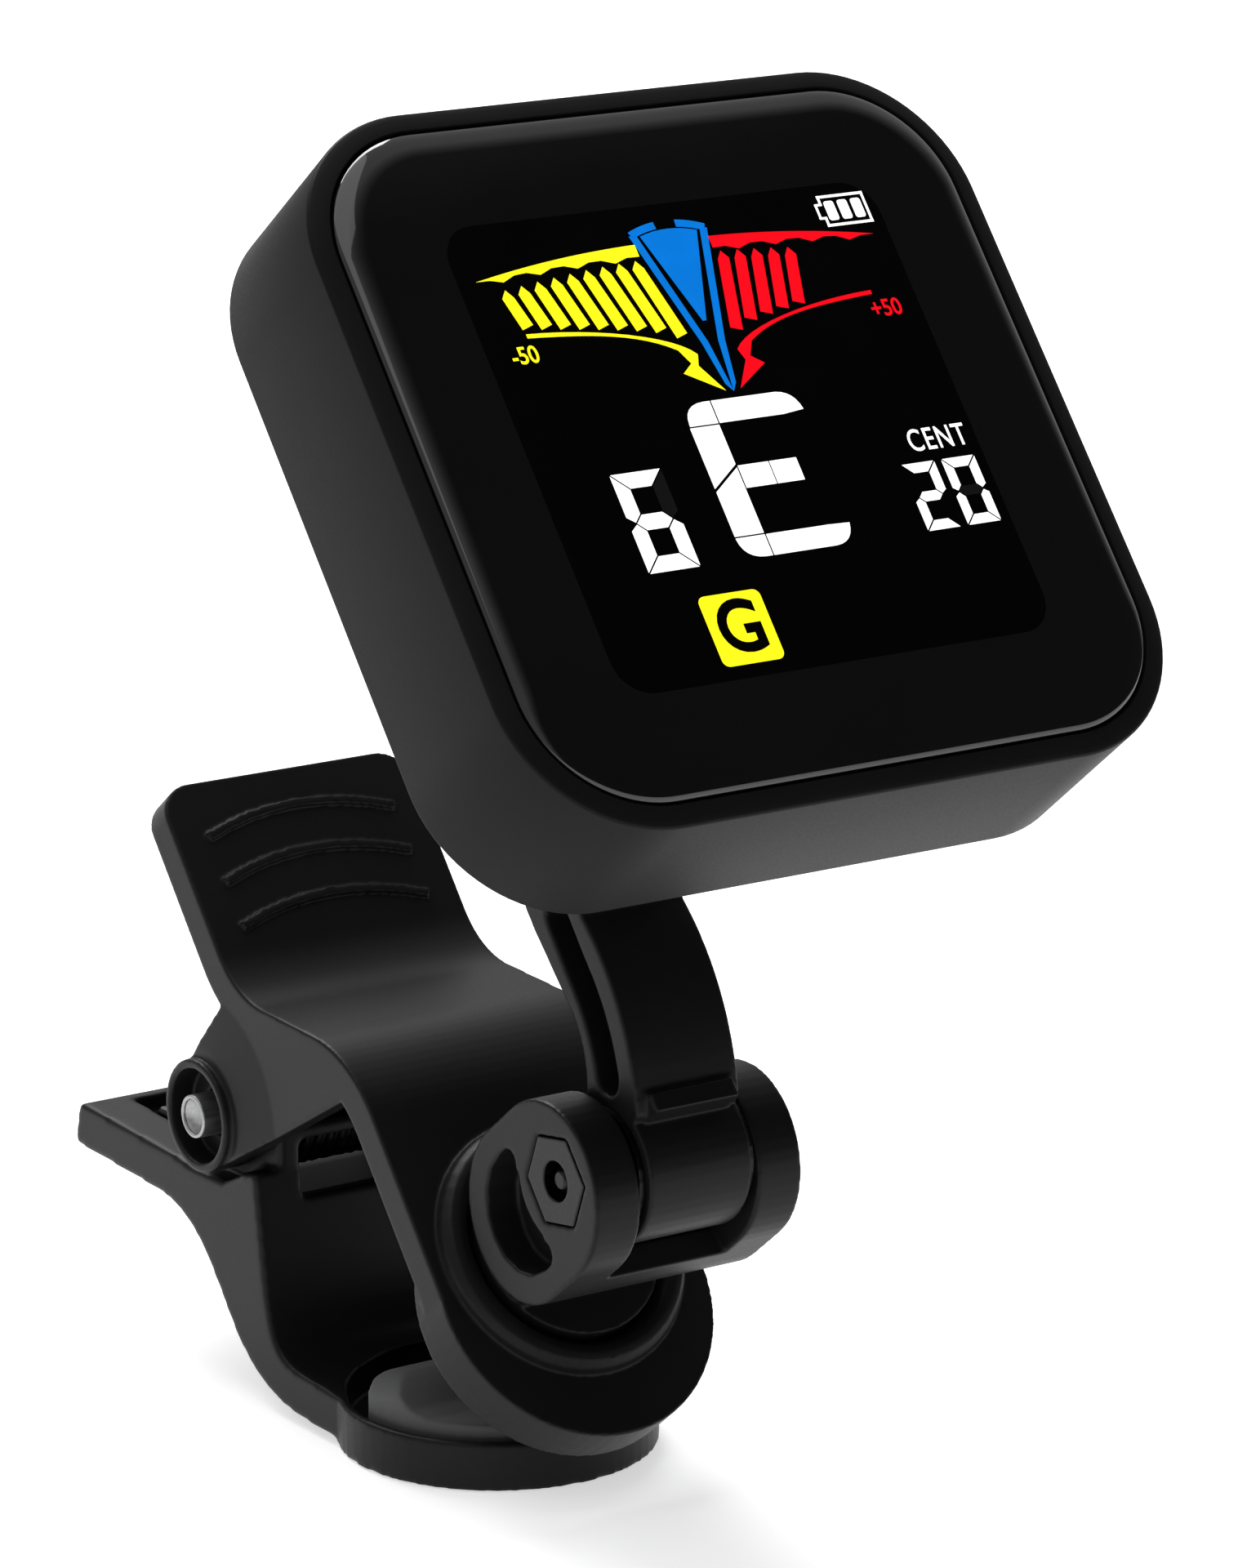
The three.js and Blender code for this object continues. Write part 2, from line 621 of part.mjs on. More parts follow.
function ringBead() {
  const middle = (RING_INNER + RING_OUTER) / 2;
  const half = (RING_OUTER - RING_INNER) / 2;
  const profile = [new THREE.Vector2(RING_INNER, -0.3), new THREE.Vector2(RING_OUTER, -0.3)];
  for (let step = 0; step <= 6; step++) {
    const angle = (step * Math.PI) / 6;
    profile.push(new THREE.Vector2(middle + half * Math.cos(angle), RING_HIGH * Math.sin(angle)));
  }
  profile.push(profile[0].clone());
  const lathe = new THREE.LatheGeometry(profile, 48);
  return solid(lathe.rotateX(Math.PI / 2).translate(0, SWIVEL_Y, PLATE_FRONT));
}

function upperJaw() {
  const strip = sideSlab(jawProfile(), -DISC_RADIUS, DISC_RADIUS, 6);
  const plate = strip.intersect(slab(jawOutline(), -BIG, BIG, 18));
  const plateBack = PLATE_FRONT - PLATE_THICK;
  const skirt = post(DISC_RADIUS, plateBack - SKIRT_DEEP, plateBack + 0.5, 0, DISC_Y, 56);
  const ribs = [0, 1, 2].map((index) =>
    slab(ribShape(RIB_APEX - index * RIB_PITCH), HANDLE_FRONT - 0.5, HANDLE_FRONT + RIB_PROUD, 4),
  );
  const bosses = bothSides((side) => sideBar(side, BOSS_RADIUS, EAR_INNER, BOSS_HALF, 0, 0, 40));
  const cups = bothSides((side) => sideBar(side, CUP_RADIUS, BOSS_HALF - CUP_DEPTH, BOSS_HALF + 1, 0, 0, 40));
  const body = joined([plate, skirt, ringBead(), ...ribs, ...flaredWebs(), ...bosses]);
  return cutFrom(body, [
    ...cups,
    bar(PIN_HOLE, -12, 12, 0, 0, 32),
    post(SKIRT_INNER, -BIG, plateBack, 0, DISC_Y, 40),
    post(SHAFT_RADIUS + 0.15, 0, PLATE_FRONT + 3, 0, SWIVEL_Y, 32),
    post(COUNTERBORE, 0, SHAFT_END - 0.02, 0, SWIVEL_Y, 32),
  ]);
}

function swivelWasher(radius, low, high) {
  return post(radius, low, high, 0, SWIVEL_Y, 32).subtract(post(1.25, -BIG, BIG, 0, SWIVEL_Y, 20));
}

function swivelScrew() {
  const top = SHAFT_END - 0.95;
  const head = post(2.4, top - 1.1, top, 0, SWIVEL_Y, 24);
  const shank = post(0.95, top - 0.5, PLATE_FRONT + 1.6, 0, SWIVEL_Y, 20);
  const drive = block(-1.4, 1.4, SWIVEL_Y - 0.25, SWIVEL_Y + 0.25, -BIG, top - 0.6);
  return head.add(shank).subtract(drive);
}

function upperPad() {
  const back = PLATE_FRONT - PLATE_THICK - 0.05;
  const face = 13.37;
  const disc = post(SKIRT_INNER - GAP, face, back, 0, DISC_Y, 40);
  return disc.subtract(post(5.6, face + 0.3, BIG, 0, SWIVEL_Y, 32));
}

// ---- Lower jaw, its pad, the pin and the spring, from the middle of the gripping face ----

// The lower jaw from the side: tray handle, curved strip and the disc's edge.
function lowerJawShape() {
  const shape = new THREE.Shape();
  shape.moveTo(0, BASE_BOTTOM + 0.5);
  shape.lineTo(6.4, -3.3);
  shape.bezierCurveTo(12.5, -3.3, 14.6, -1, 16.4, 1.2);
  shape.bezierCurveTo(18.6, 4, 20.4, 6.6, 24.4, 6.9);
  shape.lineTo(34.3, 7.4);
  shape.lineTo(34.6, 7.8);
  shape.lineTo(34.1, 10);
  shape.lineTo(33.7, 10.2);
  shape.lineTo(22.4, 9.7);
  shape.lineTo(PIVOT_Y + 2, 9.4);
  shape.lineTo(PIVOT_Y - 1.6, 9.5);
  shape.lineTo(14.4, 10.7);
  shape.lineTo(13, 10.9);
  shape.lineTo(12.1, 4.7);
  shape.bezierCurveTo(11.4, 0.2, 10.6, -0.4, 7.4, -0.5);
  shape.lineTo(5.4, -0.6);
  shape.quadraticCurveTo(4, BASE_RIM, 0, BASE_RIM);
  shape.closePath();
  return shape;
}

function trayShape() {
  return polygon([
    [32.9, 14], [32.9, 9], [24.6, 8.5], [21.8, 7.6], [19.4, 6.2], [17.2, 4.2], [15, 4], [14.2, 6], [14.2, 14],
  ]);
}

// The cross wall above the strip, and the cheek that carries the pin on each side.
function wallShape() {
  return polygon([[12.2, 5], [13, 10.6], [13, 13.4], [13.8, 13.4], [14.2, 12.6], [14.2, 5]]);
}

function cheekShape() {
  const shape = new THREE.Shape();
  shape.moveTo(13.2, 8);
  shape.lineTo(13.2, 13.4);
  shape.lineTo(14, 14.2);
  shape.lineTo(15.2, 15.4);
  shape.absarc(PIVOT_Y, PIVOT_Z, 3.5, 2.5, 0, true);
  shape.lineTo(PIVOT_Y + 3.5, 9);
  shape.lineTo(PIVOT_Y + 2, 8);
  shape.closePath();
  return shape;
}

function lowerJaw() {
  const strip = sideSlab(lowerJawShape(), -JAW_HALF, JAW_HALF, 8);
  const base = post(BASE_RADIUS, BASE_BOTTOM, BASE_RIM, 0, 0, 64);
  const wall = sideSlab(wallShape(), -LUG_OUTER, LUG_OUTER);
  const cheeks = bothSides((side) => sidePlate(side, cheekShape(), LUG_INNER, LUG_OUTER, 8));
  const spools = bothSides((side) =>
    sideBar(side, SPOOL_RADIUS, SPOOL_END, LUG_INNER + 0.2, PIVOT_Y, PIVOT_Z, 28),
  );
  const tray = sideSlab(trayShape(), -TRAY_HALF, TRAY_HALF);
  const hollow = cutFrom(joined([strip, base]), [tray]);
  return cutFrom(joined([hollow, wall, ...cheeks, ...spools]), [
    post(BASE_POCKET, BASE_FLOOR, BASE_RIM + 0.3, 0, 0, 48),
    block(-TRAY_HALF, TRAY_HALF, 11, 14.3, 8.9, 12.5),
    bar(PIN_HOLE, -12, 12, PIVOT_Y, PIVOT_Z, 32),
  ]);
}

function lowerPad() {
  const shape = new THREE.Shape();
  const meet = Math.asin(PAD_BACK / PAD_RADIUS);
  shape.absarc(0, 0, PAD_RADIUS, Math.PI - meet, 2 * Math.PI + meet);
  shape.closePath();
  const round = slab(shape, BASE_FLOOR + 0.05, PAD_RIDGE, 12);
  const side = polygon([
    [-10, BASE_FLOOR - 1], [-10, 0], [-4.2, 0], [-3, 0.35], [-2, 1.3], [-1.4, 1.7],
    [-0.8, PAD_RIDGE], [0.2, PAD_RIDGE], [0.7, 1.65], [2, -0.5], [2, BASE_FLOOR - 1],
  ]);
  const ends = slab(roundedRect(2 * PAD_RADIUS, 8, PAD_END_ROUND, 0, PAD_RIDGE - 4), -12, 12, 6);
  return round.intersect(sideSlab(side, -12, 12)).intersect(ends.rotate([90, 0, 0]));
}

function pivotPin() {
  const tube = bar(PIN_RADIUS, -PIN_HALF, PIN_HALF, PIVOT_Y, PIVOT_Z, 32);
  return tube.subtract(bar(PIN_BORE, -12, 12, PIVOT_Y, PIVOT_Z, 24));
}

// The wound body of the spring as one sleeve, with a straight leg under each handle.
function torsionSpring() {
  const reach = LUG_INNER - 0.4;
  const sleeve = bar(COIL_RADIUS, -reach, reach, PIVOT_Y, PIVOT_Z, 32).subtract(
    bar(COIL_RADIUS - WIRE, -12, 12, PIVOT_Y, PIVOT_Z, 32),
  );
  const leg = (x, y, z, turn, length) => {
    const geometry = new THREE.CylinderGeometry(WIRE / 2, WIRE / 2, length, 10);
    geometry.translate(0, length / 2, 0).rotateX(turn).translate(x, y, z);
    return solid(geometry);
  };
  const offset = COIL_RADIUS - WIRE / 2;
  const lower = leg(-reach + WIRE / 2, PIVOT_Y, PIVOT_Z - offset, 0, 12);
  const upper = leg(
    reach - WIRE / 2,
    PIVOT_Y + offset * Math.sin(LEAN) * -1,
    PIVOT_Z + offset * Math.cos(LEAN),
    LEAN,
    14,
  );
  return joined([sleeve, lower, upper]);
}

// ---- Assembly ----

const tuner = new THREE.Group();
const clip = new THREE.Group();
clip.position.z = GRIP_HEIGHT;
tuner.add(clip);

const leaning = new THREE.Group();
leaning.position.set(0, PIVOT_Y, PIVOT_Z);
leaning.rotation.x = LEAN;
clip.add(leaning);

const head = new THREE.Group();
head.position.set(0, HEAD_Y, HEAD_Z);
leaning.add(head);

head.add(
  meshOf("front_housing", housing(), "shell"),
  meshOf("front_lens", lens(), "gloss"),
  meshOf("lens_gasket", gasket(), "foam"),
  meshOf("lcd_panel", panel(31.6, 31.2, 3, 1.5, 1.7), "glass"),
  meshOf("backlight_panel", panel(31.6, 31.2, 3, 3.3, 1.5), "light"),
  meshOf("main_board", board(), "board"),
  meshOf("piezo_disc", post(6, COVER_INNER + 0.03, COVER_INNER + 0.38, -12.6, -8.5, 32), "brass"),
  meshOf("coin_cell", coinCell(), "steel"),
  meshOf("battery_contact_negative", contactNegative(), "steel"),
  meshOf("battery_contact_positive", contactPositive(), "steel"),
  meshOf("rear_cover", rearCover(), "shell"),
  meshOf("battery_door", batteryDoor(), "shell"),
  meshOf("power_button", powerButton(), "rubber"),
  meshOf("tact_switch", tactSwitch(), "blackSteel"),
);

let screwNumber = 1;
for (const x of [-POST_PLACE, POST_PLACE]) {
  for (const y of [-POST_PLACE, POST_PLACE]) {
    head.add(meshOf("cover_screw_" + screwNumber, coverScrew(x, y), "blackSteel"));
    screwNumber += 1;
  }
}
head.add(meshOf("neck_screw_left", neckScrew(-5.6, -12), "steel"));
head.add(meshOf("neck_screw_right", neckScrew(5.6, -12), "steel"));

const washerTop = SHAFT_END - 0.05;
leaning.add(
  meshOf("neck_arm", neckArm(), "shell"),
  meshOf("swivel_yoke", swivelYoke(), "shell"),
  meshOf("hinge_bolt", hingeBolt(), "blackSteel"),
  meshOf("hex_nut", hexNut(), "blackSteel"),
  meshOf("friction_washer_left", frictionWasher(-1), "steel"),
  meshOf("friction_washer_right", frictionWasher(1), "steel"),
  meshOf("upper_jaw", upperJaw(), "shell"),
  meshOf("swivel_washer", swivelWasher(5, washerTop - 0.4, washerTop), "steel"),
  meshOf("wave_washer", swivelWasher(4.4, washerTop - 0.8, washerTop - 0.45), "steel"),
  meshOf("swivel_screw", swivelScrew(), "steel"),
  meshOf("upper_pad", upperPad(), "rubber"),
);

clip.add(
  meshOf("lower_jaw", lowerJaw(), "shell"),
  meshOf("lower_pad", lowerPad(), "rubber"),
  meshOf("pivot_pin", pivotPin(), "blackSteel"),
  meshOf("torsion_spring", torsionSpring(), "blackSteel"),
);

export default tuner;
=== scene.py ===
# Looks for the clip-on tuner: the moulded pieces are rebuilt smooth over the CAD frame, the display gets its
# symbols, and every visible surface gets its own procedural material. Metres, +Z up, as the frame.

import json
import math

import bmesh
import bpy
from mathutils import Matrix, Vector

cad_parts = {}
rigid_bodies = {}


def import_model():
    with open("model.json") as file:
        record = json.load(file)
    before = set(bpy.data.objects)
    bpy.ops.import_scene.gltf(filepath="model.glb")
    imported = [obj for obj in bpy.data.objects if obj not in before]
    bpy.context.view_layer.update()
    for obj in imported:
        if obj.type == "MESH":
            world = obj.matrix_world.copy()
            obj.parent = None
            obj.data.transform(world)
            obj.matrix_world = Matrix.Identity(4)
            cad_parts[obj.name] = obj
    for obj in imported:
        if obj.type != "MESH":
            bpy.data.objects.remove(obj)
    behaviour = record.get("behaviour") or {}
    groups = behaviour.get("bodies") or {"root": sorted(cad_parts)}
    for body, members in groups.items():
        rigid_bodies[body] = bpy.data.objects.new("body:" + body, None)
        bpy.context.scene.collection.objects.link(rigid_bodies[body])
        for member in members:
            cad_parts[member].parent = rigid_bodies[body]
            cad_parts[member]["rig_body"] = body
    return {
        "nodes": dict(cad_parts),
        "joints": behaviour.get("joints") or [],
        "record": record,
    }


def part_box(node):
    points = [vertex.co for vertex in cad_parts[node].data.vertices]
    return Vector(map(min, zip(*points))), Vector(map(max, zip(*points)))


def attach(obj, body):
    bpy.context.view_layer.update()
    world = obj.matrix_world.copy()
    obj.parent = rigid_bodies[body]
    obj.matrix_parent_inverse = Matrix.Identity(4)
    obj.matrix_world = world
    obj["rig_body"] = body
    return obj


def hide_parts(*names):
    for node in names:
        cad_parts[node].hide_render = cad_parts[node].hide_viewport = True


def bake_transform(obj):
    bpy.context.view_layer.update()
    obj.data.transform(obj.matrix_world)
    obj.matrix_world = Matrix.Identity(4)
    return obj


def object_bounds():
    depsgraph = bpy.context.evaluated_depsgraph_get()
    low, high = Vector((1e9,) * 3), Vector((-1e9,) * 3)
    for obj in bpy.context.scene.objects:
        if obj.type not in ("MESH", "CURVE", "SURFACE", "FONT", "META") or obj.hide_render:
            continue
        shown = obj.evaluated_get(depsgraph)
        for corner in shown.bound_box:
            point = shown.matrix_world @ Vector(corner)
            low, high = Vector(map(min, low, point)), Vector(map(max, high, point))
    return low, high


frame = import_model()
cad_low, cad_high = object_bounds()

MM = 0.001
JOINTS = {joint["name"]: joint for joint in frame["joints"]}
OUT = Vector(JOINTS["swivel"]["axis"]).normalized()
RIGHT = Vector((1, 0, 0))
UP = OUT.cross(RIGHT).normalized()


# ---- Reading the frame ----

def extent(node, direction):
    """How far a CAD node reaches along a direction, lowest and highest."""
    reach = [vertex.co.dot(direction) for vertex in frame["nodes"][node].data.vertices]
    return min(reach), max(reach)


def plane_frame(origin):
    """A frame at a point, x to the right, y up the display and z out of it, in millimetres."""
    turn = Matrix((RIGHT, UP, OUT)).transposed().to_4x4()
    return Matrix.Translation(origin) @ turn @ Matrix.Scale(MM, 4)


housing_up = extent("front_housing", UP)
housing_out = extent("front_housing", OUT)
lens_out = extent("front_lens", OUT)
HEAD = plane_frame(UP * sum(housing_up) / 2 + OUT * housing_out[1])
LENS_FACE = (lens_out[1] - housing_out[1]) / MM
HEAD_HALF_X = extent("front_housing", RIGHT)[1] / MM
HEAD_HALF_Y = (housing_up[1] - housing_up[0]) / 2 / MM
HEAD_DEPTH = (housing_out[1] - housing_out[0]) / MM

# The head's own measures in millimetres: the corner seen from the front, the rounding of its front and
# back edges, the seam's distance from the side, the seam's width, and how far the window's edge rolls.
HEAD_CORNER = 8.7
EDGE_ROUND = 0.3
BACK_ROUND = 0.25
SEAM_INSET = 1.3
SEAM_WIDTH = 0.09
LENS_ROLL = 1.75
BUTTON_SLOT = (10.3, 6.0, 3.1)


# ---- Materials ----

def new_material(name):
    """A node material with its nodes, its links and its shader."""
    material = bpy.data.materials.new(name)
    material.use_nodes = True
    nodes = material.node_tree.nodes
    links = material.node_tree.links
    return material, nodes, links, nodes["Principled BSDF"]


def noise(nodes, links, coordinates, scale, detail=4.0, roughness=0.55):
    """A noise texture in the object's own coordinates."""
    texture = nodes.new("ShaderNodeTexNoise")
    texture.inputs["Scale"].default_value = scale
    texture.inputs["Detail"].default_value = detail
    texture.inputs["Roughness"].default_value = roughness
    links.new(coordinates.outputs["Object"], texture.inputs["Vector"])
    return texture


def ramp(nodes, links, source, low, high, start=0.3, end=0.7):
    """Spreads a value between two colours."""
    steps = nodes.new("ShaderNodeValToRGB")
    steps.color_ramp.elements[0].position = start
    steps.color_ramp.elements[1].position = end
    steps.color_ramp.elements[0].color = (*low, 1)
    steps.color_ramp.elements[1].color = (*high, 1)
    links.new(source, steps.inputs["Fac"])
    return steps.outputs["Color"]


def spread(nodes, links, source, low, high):
    """Spreads a value between two numbers."""
    mapping = nodes.new("ShaderNodeMapRange")
    mapping.inputs["From Min"].default_value = 0.3
    mapping.inputs["From Max"].default_value = 0.7
    mapping.inputs["To Min"].default_value = low
    mapping.inputs["To Max"].default_value = high
    links.new(source, mapping.inputs["Value"])
    return mapping.outputs["Result"]


def bump(nodes, links, height, shader, distance, strength):
    """Gives the shader a relief from a height."""
    node = nodes.new("ShaderNodeBump")
    node.inputs["Distance"].default_value = distance
    node.inputs["Strength"].default_value = strength
    links.new(height, node.inputs["Height"])
    links.new(node.outputs["Normal"], shader.inputs["Normal"])


def moulded(name, low, high, rough_low, rough_high, grain_size, depth, sheen=0.0, specular=0.14):
    """Moulded plastic or rubber: a fine grain in the surface, with slow changes of colour and shine."""
    material, nodes, links, shader = new_material(name)
    coordinates = nodes.new("ShaderNodeTexCoord")
    cloud = noise(nodes, links, coordinates, 90.0, 3.0)
    grain = noise(nodes, links, coordinates, 1.0 / grain_size, 2.0, 0.6)
    links.new(ramp(nodes, links, cloud.outputs["Fac"], low, high), shader.inputs["Base Color"])
    links.new(spread(nodes, links, grain.outputs["Fac"], rough_low, rough_high), shader.inputs["Roughness"])
    bump(nodes, links, grain.outputs["Fac"], shader, depth, 0.35)
    shader.inputs["Specular IOR Level"].default_value = specular
    shader.inputs["Sheen Weight"].default_value = sheen
    return material


def metal(name, low, high, rough_low, rough_high):
    """Bare or blackened metal with fine drawn scratches along x."""
    material, nodes, links, shader = new_material(name)
    coordinates = nodes.new("ShaderNodeTexCoord")
    stretch = nodes.new("ShaderNodeMapping")
    stretch.inputs["Scale"].default_value = (300.0, 4000.0, 4000.0)
    links.new(coordinates.outputs["Object"], stretch.inputs["Vector"])
    scratches = nodes.new("ShaderNodeTexNoise")
    scratches.inputs["Scale"].default_value = 1.0
    scratches.inputs["Detail"].default_value = 3.0
    links.new(stretch.outputs["Vector"], scratches.inputs["Vector"])
    links.new(ramp(nodes, links, scratches.outputs["Fac"], low, high), shader.inputs["Base Color"])
    roughness = spread(nodes, links, scratches.outputs["Fac"], rough_low, rough_high)
    links.new(roughness, shader.inputs["Roughness"])
    bump(nodes, links, scratches.outputs["Fac"], shader, 0.00001, 0.2)
    shader.inputs["Metallic"].default_value = 1.0
    return material


def gloss(name, colour, rough, coat, specular=0.5):
    """Polished window plastic with a trace of handling haze."""
    material, nodes, links, shader = new_material(name)
    coordinates = nodes.new("ShaderNodeTexCoord")
    haze = noise(nodes, links, coordinates, 120.0, 5.0)
    links.new(spread(nodes, links, haze.outputs["Fac"], rough, rough + 0.05), shader.inputs["Roughness"])
    lighter = tuple(channel * 1.25 for channel in colour)
    links.new(ramp(nodes, links, haze.outputs["Fac"], colour, lighter), shader.inputs["Base Color"])
    shader.inputs["Specular IOR Level"].default_value = specular
    shader.inputs["Coat Weight"].default_value = coat
    shader.inputs["Coat Roughness"].default_value = 0.03
    return material


def symbol(name, colour, glow):
    """A lit display segment: its own colour, faintly uneven, shown by light from behind."""
    material, nodes, links, shader = new_material(name)
    coordinates = nodes.new("ShaderNodeTexCoord")
    patches = noise(nodes, links, coordinates, 700.0, 2.0)
    dimmer = tuple(channel * 0.93 for channel in colour)
    tint = ramp(nodes, links, patches.outputs["Fac"], dimmer, colour)
    links.new(tint, shader.inputs["Base Color"])
    links.new(tint, shader.inputs["Emission Color"])
    shader.inputs["Emission Strength"].default_value = glow
    shader.inputs["Roughness"].default_value = 0.25
    shader.inputs["Specular IOR Level"].default_value = 0.1
    return material


SHELL = moulded(
    "shell_plastic", (0.0075, 0.0075, 0.0077), (0.0095, 0.0095, 0.0097), 0.36, 0.44, 0.00014, 0.00001
)
HEAD_SHELL = moulded(
    "head_plastic", (0.006, 0.006, 0.0062), (0.0075, 0.0075, 0.0077), 0.42, 0.5, 0.00012, 0.00001, 0.0, 0.08
)
PAD = moulded("pad_rubber", (0.08, 0.08, 0.081), (0.095, 0.095, 0.096), 0.6, 0.72, 0.00018, 0.00002, 0.1)
KEY = moulded("key_rubber", (0.02, 0.02, 0.021), (0.026, 0.026, 0.027), 0.6, 0.7, 0.00016, 0.00002)
FOAM = moulded("foam", (0.008, 0.008, 0.008), (0.014, 0.014, 0.014), 0.8, 0.95, 0.0003, 0.00005)
BOARD = moulded("board", (0.008, 0.09, 0.03), (0.012, 0.12, 0.045), 0.4, 0.5, 0.0004, 0.00001)
GUIDE = moulded("light_guide", (0.7, 0.7, 0.66), (0.78, 0.78, 0.74), 0.4, 0.5, 0.0003, 0.00001)
STEEL = metal("bare_steel", (0.5, 0.5, 0.51), (0.62, 0.62, 0.63), 0.22, 0.38)
BLACK_STEEL = metal("black_steel", (0.02, 0.02, 0.0205), (0.032, 0.032, 0.033), 0.3, 0.42)
PIN_STEEL = metal("satin_pin", (0.3, 0.3, 0.305), (0.42, 0.42, 0.425), 0.38, 0.5)
BRASS = metal("brass", (0.55, 0.36, 0.12), (0.66, 0.46, 0.16), 0.25, 0.4)
GLOSS = gloss("window_gloss", (0.0035, 0.0035, 0.0038), 0.03, 0.6)
GLASS = gloss("display_glass", (0.001, 0.001, 0.0012), 0.2, 0.0, 0.08)
YELLOW = symbol("symbol_yellow", (0.98, 0.9, 0.012), 0.75)
BLUE = symbol("symbol_blue", (0.002, 0.16, 0.6), 0.75)
RED = symbol("symbol_red", (0.82, 0.003, 0.01), 0.75)
WHITE = symbol("symbol_white", (1.0, 1.0, 1.0), 0.8)
DIM = symbol("symbol_dim", (0.008, 0.008, 0.0085), 0.3)

SLOT_MATERIALS = {
    "shell": SHELL, "gloss": GLOSS, "foam": FOAM, "lcd": GLASS, "light": GUIDE, "board": BOARD,
    "brass": BRASS, "steel": STEEL, "black_steel": BLACK_STEEL, "rubber": KEY, "pad": PAD,
}


def paint(obj, material):
    """Gives the object one material."""
    obj.data.materials.clear()
    obj.data.materials.append(material)


for entry in frame["record"]["subparts"]:
    paint(frame["nodes"][entry["node"]], SLOT_MATERIALS[entry["material_slot"]])


# ---- Making pieces ----

def evaluated(obj):
    """A new mesh of the object as its modifiers or its curve settings make it."""
    bpy.context.view_layer.update()
    graph = bpy.context.evaluated_depsgraph_get()
    return bpy.data.meshes.new_from_object(obj.evaluated_get(graph))


def finished(work, name):
    """The mesh under construction as a mesh whose faces point outwards."""
    bmesh.ops.recalc_face_normals(work, faces=work.faces)
    mesh = bpy.data.meshes.new(name)
    work.to_mesh(mesh)
    work.free()
    return mesh


def add_object(name, mesh, material, body, smooth_angle=None):
    """A piece that rides on a body, with edges sharper than the angle left sharp."""
    obj = bpy.data.objects.new(name, mesh)
    bpy.context.scene.collection.objects.link(obj)
    paint(obj, material)
    mesh.shade_smooth()
    if smooth_angle is not None:
        mesh.set_sharp_from_angle(angle=math.radians(smooth_angle))
    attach(obj, body)
    return obj


def remeshed(node, name, material, slot_name, voxel, rounds):
    """The CAD node's shape again as one fine skin whose edges are rounded as a moulding's are."""
    mesh = frame["nodes"][node].data.copy()
    work = bmesh.new()
    work.from_mesh(mesh)
    bmesh.ops.remove_doubles(work, verts=work.verts, dist=1e-7)
    work.to_mesh(mesh)
    work.free()
    mesh.transform(Matrix.Scale(1 / MM, 4))
    draft = bpy.data.objects.new(name + "_draft", mesh)
    bpy.context.scene.collection.objects.link(draft)
    remesh = draft.modifiers.new("skin", "REMESH")
    remesh.mode = "VOXEL"
    remesh.voxel_size = voxel * 1
    soften = draft.modifiers.new("soften", "SMOOTH")
    soften.factor = 0.5
    soften.iterations = rounds
    shape = evaluated(draft)
    bpy.data.objects.remove(draft)
    shape.transform(Matrix.Scale(MM, 4))
    body = frame["nodes"][node]["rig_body"]
    obj = add_object(name, shape, material, body)
    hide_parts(node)
    return obj


def rounded_loop(half_x, half_y, corner, count=20):
    """Points round a rounded rectangle, counter-clockwise."""
    points = []
    for index, (sx, sy) in enumerate(((1, 1), (-1, 1), (-1, -1), (1, -1))):
        for step in range(count + 1):
            angle = (index + step / count) * math.pi / 2
            x = sx * (half_x - corner) + corner * math.cos(angle)
            y = sy * (half_y - corner) + corner * math.sin(angle)
            points.append((x, y))
    return points


def swept(profile, half_x, half_y, corner, closed):
    """A body whose profile of (inset, height) runs round a rounded rectangle, closed or capped."""
    work = bmesh.new()
    rings = []
    for inset, height in profile:
        loop = rounded_loop(half_x - inset, half_y - inset, max(corner - inset, 0.3))
        rings.append([work.verts.new((x, y, height)) for x, y in loop])
    pairs = list(zip(rings, rings[1:]))
    if closed:
        pairs.append((rings[-1], rings[0]))
    for lower, upper in pairs:
        for index in range(len(lower)):
            following = (index + 1) % len(lower)
            work.faces.new((lower[index], lower[following], upper[following], upper[index]))
    if not closed:
        work.faces.new(rings[-1])
        work.faces.new(rings[0][::-1])
    return finished(work, "swept")


def quarter(inset, height, radius, start, end, count=6):
    """Profile points of a rounding about a centre given by its inset and height."""
    points = []
    for step in range(count + 1):
        angle = math.radians(start + (end - start) * step / count)
        points.append((inset - radius * math.cos(angle), height + radius * math.sin(angle)))
    return points


# ---- Head ----

